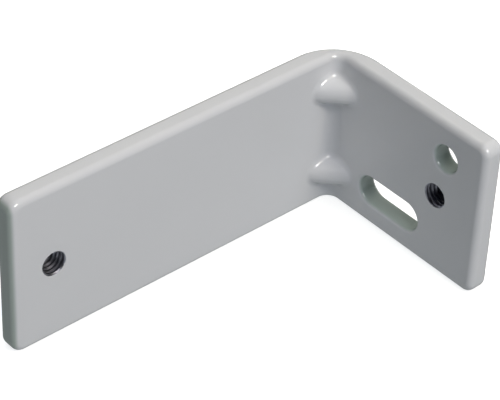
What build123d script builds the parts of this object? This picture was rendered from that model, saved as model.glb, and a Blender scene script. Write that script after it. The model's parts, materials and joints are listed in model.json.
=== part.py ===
from build123d import *
from math import sqrt
import os

# Spacer bracket: a flat steel bar bent once to a right angle, punched, tapped and powder coated.
# The long arm runs along X and the short arm along Y, with the width of the bar up and down (Z).
# The outside faces of the arms look towards +Y and +X. Sizes are in millimetres, over the coating.

# Bar, and the arms measured over the outside of the bend
bar_width = 30.0
bar_thickness = 4.0
long_arm_length = 71.0
short_arm_length = 38.5

# Bend, which draws the bar thinner, and the rounding of its corners and edges
inner_bend_radius = 2.0
outer_bend_radius = 9.5
corner_radius = 2.0
edge_rounding = 1.2
least_edge_flat = 0.1

# Two stiffening beads, pressed into the bend from outside
bead_width = 4.6
bead_rise = 3.8
bead_crest_rounding = 2.2
bead_foot_rounding = 1.3
bead_land = 1.75
bead_wall = 3.4
dent_width = 4.6
dent_nose_rounding = 1.6
dent_rim_chamfer = 0.3

# M5 threaded holes, one in each arm, at half the width of the bar
thread_core_radius = 2.1
thread_chamfer = 0.2
long_thread_from_end = 8.0
short_thread_from_end = 10.0

# Plain screw hole and slot of the short arm, punched from the inside of the angle
screw_hole_radius = 2.45
screw_hole_from_end = 8.6
screw_hole_from_top = 6.8
slot_width = 5.4
slot_length = 13.8
slot_from_beads = 1.9
slot_from_bottom = 6.9
inside_mouth_rounding = 0.6
outside_mouth_chamfer = 0.8

# Places that follow from the sizes, with the origin under the middle of the bracket
outer_x = long_arm_length / 2
outer_y = short_arm_length / 2
inner_x = outer_x - bar_thickness
inner_y = outer_y - bar_thickness
free_x = -outer_x
free_y = -outer_y

# The bend's wall at 45 degrees, which limits how far the edges of the bar are rounded
bend_wall = sqrt(2) * bar_thickness - (sqrt(2) - 1) * (outer_bend_radius - inner_bend_radius)
bar_rounding = min(edge_rounding, (bend_wall - least_edge_flat) / 2)

# Each bead stands clear of the rounded edge by a level strip of the bend, called its land
bead_from_edge = bar_rounding + bead_land + bead_foot_rounding + bead_width / 2
bead_heights = (bead_from_edge, bar_width - bead_from_edge)

# The beads reach this far along each arm from the corner inside the bend, and then comes the slot
bead_reach = sqrt(2) * bead_rise
slot_from_end = short_arm_length - bar_thickness - bead_reach - slot_from_beads - slot_length / 2

# Section plane of the beads: local x points up, local y out of the corner between the arms
across_bend = Plane((inner_x, inner_y, 0), x_dir=(0, 0, 1), z_dir=(1, -1, 0))
along_beads = Axis((inner_x, inner_y, 0), (1, -1, 0))
# Planes that are drilled and punched: local x runs from the free end of the arm, local y up
long_arm_inside = Plane((free_x, inner_y, 0), x_dir=(1, 0, 0), z_dir=(0, -1, 0))
short_arm_outside = Plane((outer_x, free_y, 0), x_dir=(0, 1, 0), z_dir=(1, 0, 0))


with BuildPart() as beads:
    # Rounded bars laid across the corner, level above and below, ending halfway through the bar
    with BuildSketch(across_bend):
        with Locations(*[(height, 0) for height in bead_heights]):
            RectangleRounded(bead_width, 2 * bead_rise, bead_crest_rounding)
    extrude(amount=long_arm_length, both=True)
    with BuildSketch() as corner_plan:
        with Locations((outer_x - bar_thickness / 2, outer_y - bar_thickness / 2)):
            Rectangle(short_arm_length, short_arm_length, align=(Align.MAX, Align.MAX))
        outer_corner = corner_plan.vertices().sort_by(lambda corner: corner.X + corner.Y)[-1]
        fillet(outer_corner, outer_bend_radius - bar_thickness / 2)
    extrude(amount=bar_width, mode=Mode.INTERSECT)


with BuildPart() as bracket:
    # Bent bar, seen in plan
    with BuildSketch() as bent_bar:
        with BuildLine():
            Polyline(
                (free_x, outer_y),
                (outer_x, outer_y),
                (outer_x, free_y),
                (inner_x, free_y),
                (inner_x, inner_y),
                (free_x, inner_y),
                close=True,
            )
        make_face()
        outer_corner = bent_bar.vertices().sort_by_distance((outer_x, outer_y, 0))[0]
        fillet(outer_corner, outer_bend_radius)
        inner_corner = bent_bar.vertices().sort_by_distance((inner_x, inner_y, 0))[0]
        fillet(inner_corner, inner_bend_radius)
    extrude(amount=bar_width)

    # Corners of the free ends, then all the way round both sides of the bar
    across_long_arm = bracket.edges().filter_by(Axis.Y).group_by(Axis.X)[0]
    across_short_arm = bracket.edges().filter_by(Axis.X).group_by(Axis.Y)[0]
    fillet(across_long_arm + across_short_arm, corner_radius)
    smooth_seams = bracket.faces().filter_by(GeomType.CYLINDER).edges().filter_by(GeomType.LINE)
    fillet(bracket.edges() - smooth_seams, bar_rounding)

    # Beads inside the bend, and the dents that the press tool leaves behind them
    add(beads.part)
    bead_feet = bracket.edges(Select.LAST).filter_by(along_beads, reverse=True)
    fillet(bead_feet, bead_foot_rounding)
    dent_axis_depth = bead_rise - bead_wall - dent_width / 2
    with BuildSketch(across_bend):
        with Locations(*[(height, dent_axis_depth) for height in bead_heights]):
            RectangleRounded(dent_width, dent_width, dent_nose_rounding)
    extrude(amount=long_arm_length, both=True, mode=Mode.SUBTRACT)
    dent_rims = bracket.edges(Select.LAST).filter_by(along_beads, reverse=True)
    chamfer(dent_rims, dent_rim_chamfer)

    # Screw hole and slot: the punch rounds their inside mouths and breaks out wider at the outside
    with BuildSketch(short_arm_outside):
        with Locations((screw_hole_from_end, bar_width - screw_hole_from_top)):
            Circle(screw_hole_radius)
        with Locations((slot_from_end, slot_from_bottom)):
            SlotOverall(slot_length, slot_width)
    extrude(amount=-bar_thickness, mode=Mode.SUBTRACT)
    mouths = bracket.edges(Select.LAST).filter_by(Axis.X, reverse=True).group_by(Axis.X)
    fillet(mouths[0], inside_mouth_rounding)
    chamfer(mouths[-1], outside_mouth_chamfer)

    # Threaded holes, at the core size of the thread
    with Locations(short_arm_outside):
        with Locations((short_thread_from_end, bar_width / 2)):
            Hole(thread_core_radius, bar_thickness)
    chamfer(bracket.edges(Select.LAST).filter_by(GeomType.CIRCLE), thread_chamfer)
    with Locations(long_arm_inside):
        with Locations((long_thread_from_end, bar_width / 2)):
            Hole(thread_core_radius, bar_thickness)
    chamfer(bracket.edges(Select.LAST).filter_by(GeomType.CIRCLE), thread_chamfer)


os.makedirs("parts", exist_ok=True)
bracket.part.label = "bracket"
export_step(bracket.part, "parts/bracket.step")
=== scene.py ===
import json
from math import cos, pi, radians, sin

import bmesh
import bpy
from mathutils import Matrix, Vector


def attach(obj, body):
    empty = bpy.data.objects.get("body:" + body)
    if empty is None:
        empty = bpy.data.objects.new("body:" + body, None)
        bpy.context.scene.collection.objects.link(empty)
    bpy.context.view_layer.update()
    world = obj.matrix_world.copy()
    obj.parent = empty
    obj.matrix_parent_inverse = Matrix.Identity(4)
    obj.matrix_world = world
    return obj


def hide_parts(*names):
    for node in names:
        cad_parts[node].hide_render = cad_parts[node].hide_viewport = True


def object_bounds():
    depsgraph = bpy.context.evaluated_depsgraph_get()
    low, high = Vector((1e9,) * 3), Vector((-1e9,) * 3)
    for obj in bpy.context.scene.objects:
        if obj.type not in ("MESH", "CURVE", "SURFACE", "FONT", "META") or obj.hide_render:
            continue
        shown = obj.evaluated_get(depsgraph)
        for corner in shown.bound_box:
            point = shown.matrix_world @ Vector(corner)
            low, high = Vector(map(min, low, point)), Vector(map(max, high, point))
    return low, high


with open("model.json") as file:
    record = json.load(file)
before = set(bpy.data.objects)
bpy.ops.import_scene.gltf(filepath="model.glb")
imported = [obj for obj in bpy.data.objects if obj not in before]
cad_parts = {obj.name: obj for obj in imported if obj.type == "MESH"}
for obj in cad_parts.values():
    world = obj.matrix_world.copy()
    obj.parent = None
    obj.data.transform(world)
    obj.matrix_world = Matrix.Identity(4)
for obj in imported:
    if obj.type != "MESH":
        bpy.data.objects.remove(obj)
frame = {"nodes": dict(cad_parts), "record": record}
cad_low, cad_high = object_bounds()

# Bracket: flat steel bar, bent once and pressed with two beads, then powder coated a glossy white.
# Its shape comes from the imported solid, and the M5 threads are tapped through it after coating, so
# they show bare dark steel.
mm = 0.001
mounts = {mount["name"]: mount for mount in frame["record"]["mounts"]}
thread_names = ("long_arm_thread", "short_arm_thread")
bar_half_thickness = 2.0 * mm

# The tap, which narrows from the mouths of the hole outwards and so leaves the coated faces alone
thread_pitch = 0.8 * mm
thread_root_radius = 2.5 * mm
mouth_radius = 2.26 * mm
tap_core_radius = 2.04 * mm
tap_end_radius = tap_core_radius / 2
tap_reach = 4.0 * mm
tap_tip_height = 2 * tap_reach
tap_sides = 56
# One turn of its profile: how far up the turn, and the radius there
tap_profile = (
    (0.00, tap_core_radius),
    (0.25, tap_core_radius),
    (0.56, thread_root_radius),
    (0.69, thread_root_radius),
)


def tap(name, mount):
    """The tap that cuts one thread: a right-hand helix with closed ends, along the hole's axis."""
    steps = len(tap_profile)
    turns = round(2 * tap_reach / thread_pitch)
    form = bmesh.new()

    def point(row, side):
        """One corner of the helix, by its row up the profile and its side round the axis."""
        turn, step = divmod(row, steps)
        rise, radius = tap_profile[step]
        height = (turn + rise + side / tap_sides) * thread_pitch - tap_reach
        run_out = mouth_radius + bar_half_thickness - abs(height)
        radius = min(radius, max(run_out, tap_end_radius))
        angle = 2 * pi * side / tap_sides
        return form.verts.new((radius * cos(angle), radius * sin(angle), height))

    # The helix climbs a pitch on its way round, so its last column meets the first one turn higher
    last = turns * steps
    columns = [[point(row, side) for row in range(last + 1)] for side in range(tap_sides)]
    columns[0] += [point(row, 0) for row in range(last + 1, last + steps + 1)]
    for side in range(tap_sides):
        near = columns[side]
        far = columns[side + 1] if side + 1 < tap_sides else columns[0][steps:]
        for row in range(last):
            form.faces.new((near[row], far[row], far[row + 1], near[row + 1]))

    # Each end closes in a cone, outside the bar
    lower_rim = [column[0] for column in columns] + columns[0][steps:0:-1]
    upper_rim = [column[last] for column in columns] + columns[0][:last:-1]
    for rim, tip_height in ((lower_rim, -tap_tip_height), (upper_rim, tap_tip_height)):
        tip = form.verts.new((0, 0, tip_height))
        for here, after in zip(rim, rim[1:] + rim[:1]):
            form.faces.new((here, after, tip))
    bmesh.ops.recalc_face_normals(form, faces=form.faces)

    tap_turn = Vector((0, 0, 1)).rotation_difference(Vector(mount["axis"])).to_matrix().to_4x4()
    form.transform(Matrix.Translation(mount["pos_m"]) @ tap_turn)
    mesh = bpy.data.meshes.new(name)
    form.to_mesh(mesh)
    form.free()
    cutter = bpy.data.objects.new(name, mesh)
    bpy.context.collection.objects.link(cutter)
    return cutter


def patches(material, scale, detail):
    """Noise that stays in place on the piece, with so many patches to the metre."""
    tree = material.node_tree
    place = tree.nodes.new("ShaderNodeTexCoord")
    noise = tree.nodes.new("ShaderNodeTexNoise")
    noise.inputs["Scale"].default_value = scale
    noise.inputs["Detail"].default_value = detail
    tree.links.new(place.outputs["Object"], noise.inputs["Vector"])
    return noise.outputs["Fac"]


def toned(material, pattern, low_tone, high_tone):
    """A pattern turned into colour, from its low tone to its high one."""
    tree = material.node_tree
    tone = tree.nodes.new("ShaderNodeValToRGB")
    tone.color_ramp.elements[0].color = low_tone
    tone.color_ramp.elements[1].color = high_tone
    tree.links.new(pattern, tone.inputs["Fac"])
    return tone.outputs["Color"]


coat_low_tone = (0.785, 0.795, 0.805, 1)
coat_high_tone = (0.815, 0.822, 0.828, 1)
# Painted shade: a darker, greener tone for the cut walls and the long arm's end, where the coat is
# also thinner
shade_and_thin_coat_tone = (0.48, 0.55, 0.50, 1)
shade_and_thin_coat_layer = "shade_and_thin_coat"


def powder_coat():
    """Glossy white powder coat: orange peel in its skin, and painted greener shade at the cuts."""
    material = bpy.data.materials.new("white_powder_coat")
    material.use_nodes = True
    nodes = material.node_tree.nodes
    link = material.node_tree.links.new
    shader = nodes["Principled BSDF"]
    shader.inputs["IOR"].default_value = 1.5
    shader.inputs["Roughness"].default_value = 0.25
    shader.inputs["Coat Weight"].default_value = 0.6
    shader.inputs["Coat Roughness"].default_value = 0.04

    cloud = patches(material, scale=60, detail=3)
    # Painted shade: the layer mixes the darker, greener tone into the cut walls and the long arm's
    # end
    shade_attribute = nodes.new("ShaderNodeAttribute")
    shade_attribute.attribute_name = shade_and_thin_coat_layer
    shade_mix = nodes.new("ShaderNodeMix")
    shade_mix.data_type = "RGBA"
    shade_mix.inputs["B"].default_value = shade_and_thin_coat_tone
    link(shade_attribute.outputs["Fac"], shade_mix.inputs["Factor"])
    link(toned(material, cloud, coat_low_tone, coat_high_tone), shade_mix.inputs["A"])
    link(shade_mix.outputs["Result"], shader.inputs["Base Color"])

    peel = patches(material, scale=700, detail=2)
    skin = nodes.new("ShaderNodeBump")
    skin.inputs["Strength"].default_value = 0.25
    skin.inputs["Distance"].default_value = 0.02 * mm
    link(peel, skin.inputs["Height"])
    link(skin.outputs["Normal"], shader.inputs["Normal"])
    return material


steel_low_tone = (0.16, 0.16, 0.21, 1)
steel_high_tone = (0.70, 0.71, 0.78, 1)


def tapped_steel():
    """Bare tapped steel, blackened and oily, in fine patches that are darker and brighter."""
    material = bpy.data.materials.new("tapped_steel")
    material.use_nodes = True
    nodes = material.node_tree.nodes
    link = material.node_tree.links.new
    shader = nodes["Principled BSDF"]
    shader.inputs["Metallic"].default_value = 1.0

    stain = patches(material, scale=1500, detail=4)
    link(toned(material, stain, steel_low_tone, steel_high_tone), shader.inputs["Base Color"])
    wear = nodes.new("ShaderNodeMapRange")
    wear.inputs["To Min"].default_value = 0.25
    wear.inputs["To Max"].default_value = 0.45
    link(stain, wear.inputs["Value"])
    link(wear.outputs["Result"], shader.inputs["Roughness"])
    return material


def apply_modifiers(piece):
    """Gives a piece the mesh that its modifiers make, and takes them off it."""
    shape = piece.evaluated_get(bpy.context.evaluated_depsgraph_get())
    mesh = bpy.data.meshes.new_from_object(shape)
    mesh.name = piece.name
    piece.data = mesh
    piece.modifiers.clear()


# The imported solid, welded along the seams between its faces, and then tapped
seam_weld = 0.001 * mm
shell = bmesh.new()
shell.from_mesh(frame["nodes"]["bracket"].data)
bmesh.ops.remove_doubles(shell, verts=shell.verts, dist=seam_weld)
bar_mesh = bpy.data.meshes.new("bracket_body")
shell.to_mesh(bar_mesh)
shell.free()
bracket = bpy.data.objects.new("bracket_body", bar_mesh)
bpy.context.collection.objects.link(bracket)
bar_mesh.materials.append(powder_coat())
bar_mesh.materials.append(tapped_steel())
steel_index = 1

taps = [tap(name + "_tap", mounts[name]) for name in thread_names]
for cutter in taps:
    cutter.data.materials.append(bar_mesh.materials[steel_index])
    cut = bracket.modifiers.new(cutter.name, "BOOLEAN")
    cut.operation = "DIFFERENCE"
    cut.solver = "EXACT"
    cut.material_mode = "TRANSFER"
    cut.object = cutter
apply_modifiers(bracket)
for cutter in taps:
    bpy.data.objects.remove(cutter)


def off_axis(point, mount):
    """How far a point is from the axis of a mount."""
    return (point - Vector(mount["pos_m"])).cross(Vector(mount["axis"])).length


# Steel is bare inside the threads, and only edges that turn by more than 50 degrees stay sharp
bare_radius = 2.24 * mm
smooth_up_to = radians(50)
cut_weld = 0.0005 * mm
work = bmesh.new()
work.from_mesh(bracket.data)
bmesh.ops.remove_doubles(work, verts=work.verts, dist=cut_weld)
for face in work.faces:
    face.smooth = True
    centre = face.calc_center_median()
    for thread in (mounts[name] for name in thread_names):
        along = abs((centre - Vector(thread["pos_m"])).dot(Vector(thread["axis"])))
        if off_axis(centre, thread) < bare_radius and along < bar_half_thickness:
            face.material_index = steel_index
for edge in work.edges:
    edge.smooth = len(edge.link_faces) == 2 and edge.calc_face_angle(0) < smooth_up_to

# Painted shade, darker and greener, where the bar was cut and the coat is thinner: in the screw
# hole and the slot, and on the long arm's end
shade_fade = 0.35 * mm
end_shade_reach = 0.3 * mm
end_fade = 0.5 * mm
screw_hole = mounts["screw_hole"]
slot = mounts["slot"]
slot_centre = Vector(slot["pos_m"])
slot_half_run = (slot["dims"]["slot_length_mm"] / 2 - slot["dims"]["hole_r_mm"]) * mm
shade_layer = work.verts.layers.float.new(shade_and_thin_coat_layer)
for vert in work.verts:
    across = vert.co - slot_centre
    across.y -= max(-slot_half_run, min(slot_half_run, across.y))
    from_hole = off_axis(vert.co, screw_hole) - screw_hole["dims"]["r_mm"] * mm
    from_slot = across.yz.length - slot["dims"]["hole_r_mm"] * mm
    on_short_arm = abs(across.x) < bar_half_thickness + shade_fade
    cover = min(max(0, from_hole), max(0, from_slot)) / shade_fade
    on_walls = max(0, 1 - cover) if on_short_arm else 0
    past_end_shade = vert.co.x - cad_low[0] - end_shade_reach
    on_end = max(0, min(1, 1 - past_end_shade / end_fade))
    vert[shade_layer] = max(on_walls, on_end)
work.to_mesh(bracket.data)
work.free()

# Flat faces keep their light flat, and the roundings between them carry all of the turn
weights = bracket.modifiers.new("flat_faces_lead", "WEIGHTED_NORMAL")
weights.keep_sharp = True
apply_modifiers(bracket)

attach(bracket, "root")
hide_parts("bracket")

# Floor: a plain pale sheet that the bracket stands on, lit evenly like a light table. It neither
# lights the bracket nor shows in its gloss, which the card of the studio light does instead.
floor_half = 1.5
floor_drop = 0.03 * mm
floor_corners = [
    (-floor_half, -floor_half, 0),
    (floor_half, -floor_half, 0),
    (floor_half, floor_half, 0),
    (-floor_half, floor_half, 0),
]
floor_mesh = bpy.data.meshes.new("floor")
floor_mesh.from_pydata(floor_corners, [], [(0, 1, 2, 3)])
floor = bpy.data.objects.new("floor", floor_mesh)
floor.location.z = cad_low[2] - floor_drop
floor.visible_diffuse = False
floor.visible_glossy = False
bpy.context.collection.objects.link(floor)
pale = bpy.data.materials.new("pale_sheet")
pale.use_nodes = True
pale_shader = pale.node_tree.nodes["Principled BSDF"]
pale_shader.inputs["Base Color"].default_value = (0.88, 0.88, 0.88, 1)
pale_shader.inputs["Roughness"].default_value = 0.9
pale_shader.inputs["Specular IOR Level"].default_value = 0.0
pale_shader.inputs["Emission Color"].default_value = (1, 1, 1, 1)
pale_shader.inputs["Emission Strength"].default_value = 0.6
floor_mesh.materials.append(pale)

# Studio light: three soft boxes hang above the front, the top and the back right of the bracket,
# and a card on the floor glows back up on to its sides. The short arm shades the bend from a small
# bare lamp at the front right, and a glint lamp beside it only leaves points of light in the gloss.
lamp_distance = 1.0
box_width = 0.8
bracket_middle = Vector((0, 0, (cad_low[2] + cad_high[2]) / 2))


def lamp(name, towards, width, power, color):
    """A square lamp that faces the bracket from the direction given."""
    data = bpy.data.lights.new(name, "AREA")
    data.size = width
    data.energy = power
    data.color = color
    light = bpy.data.objects.new(name, data)
    out = Vector(towards).normalized()
    light.location = bracket_middle + out * lamp_distance
    light.rotation_euler = out.to_track_quat("Z", "Y").to_euler()
    bpy.context.collection.objects.link(light)
    return light


soft_boxes = (
    lamp("front_box", (-0.1, -0.7, 0.7), box_width, power=4.8, color=(0.78, 0.82, 0.95)),
    lamp("top_box", (0.0, -0.1, 1.0), box_width, power=2.6, color=(1.0, 1.0, 0.94)),
    lamp("back_box", (0.75, 0.45, 0.6), box_width, power=3.7, color=(1.0, 0.98, 0.95)),
)
for box in soft_boxes:
    box.visible_glossy = False
lamp("front_lamp", (0.1, -0.69, 0.72), width=0.2, power=2.7, color=(1.0, 0.90, 0.74))
glint_lamp = lamp("glint_lamp", (-0.15, -0.68, 0.71), width=0.1, power=5.5, color=(1, 1, 1))
glint_lamp.visible_diffuse = False
glint_lamp.data.cycles.max_bounces = 0

card_drop = 0.02 * mm
card_mesh = floor_mesh.copy()
card = bpy.data.objects.new("bounce_card", card_mesh)
card.location.z = cad_low[2] - card_drop
card.visible_camera = False
card.visible_shadow = False
bpy.context.collection.objects.link(card)
glow = bpy.data.materials.new("card_glow")
glow.use_nodes = True
glow_shader = glow.node_tree.nodes["Principled BSDF"]
glow_shader.inputs["Base Color"].default_value = (0, 0, 0, 1)
glow_shader.inputs["Specular IOR Level"].default_value = 0.0
glow_shader.inputs["Emission Color"].default_value = (0.93, 0.98, 1.0, 1)
glow_shader.inputs["Emission Strength"].default_value = 0.335
card_mesh.materials.clear()
card_mesh.materials.append(glow)

world = bpy.data.worlds.new("room")
world.use_nodes = True
world.node_tree.nodes["Background"].inputs["Color"].default_value = (0, 0, 0, 1)
bpy.context.scene.world = world
bpy.context.scene.view_settings.view_transform = "Standard"

# Camera: a long lens in front of the free ends and above, at the photograph's viewing angle. Its
# place, roll and focal length were fitted to the outline, the edges and the rims of the holes.
camera_azimuth = radians(-42.46)
camera_elevation = radians(38.23)
camera_roll = radians(2.71)
camera_distance = 352.4 * mm
camera_aim = Vector((2.41, 3.52, 20.36)) * mm
camera_data = bpy.data.cameras.new("camera")
camera_data.lens = 160.4
camera = bpy.data.objects.new("camera", camera_data)
away = Vector((
    sin(camera_azimuth) * cos(camera_elevation),
    -cos(camera_azimuth) * cos(camera_elevation),
    sin(camera_elevation),
))
camera.location = camera_aim + away * camera_distance
roll = Matrix.Rotation(camera_roll, 4, "Z")
camera.rotation_euler = (away.to_track_quat("Z", "Y").to_matrix().to_4x4() @ roll).to_euler()
bpy.context.collection.objects.link(camera)
bpy.context.scene.camera = camera
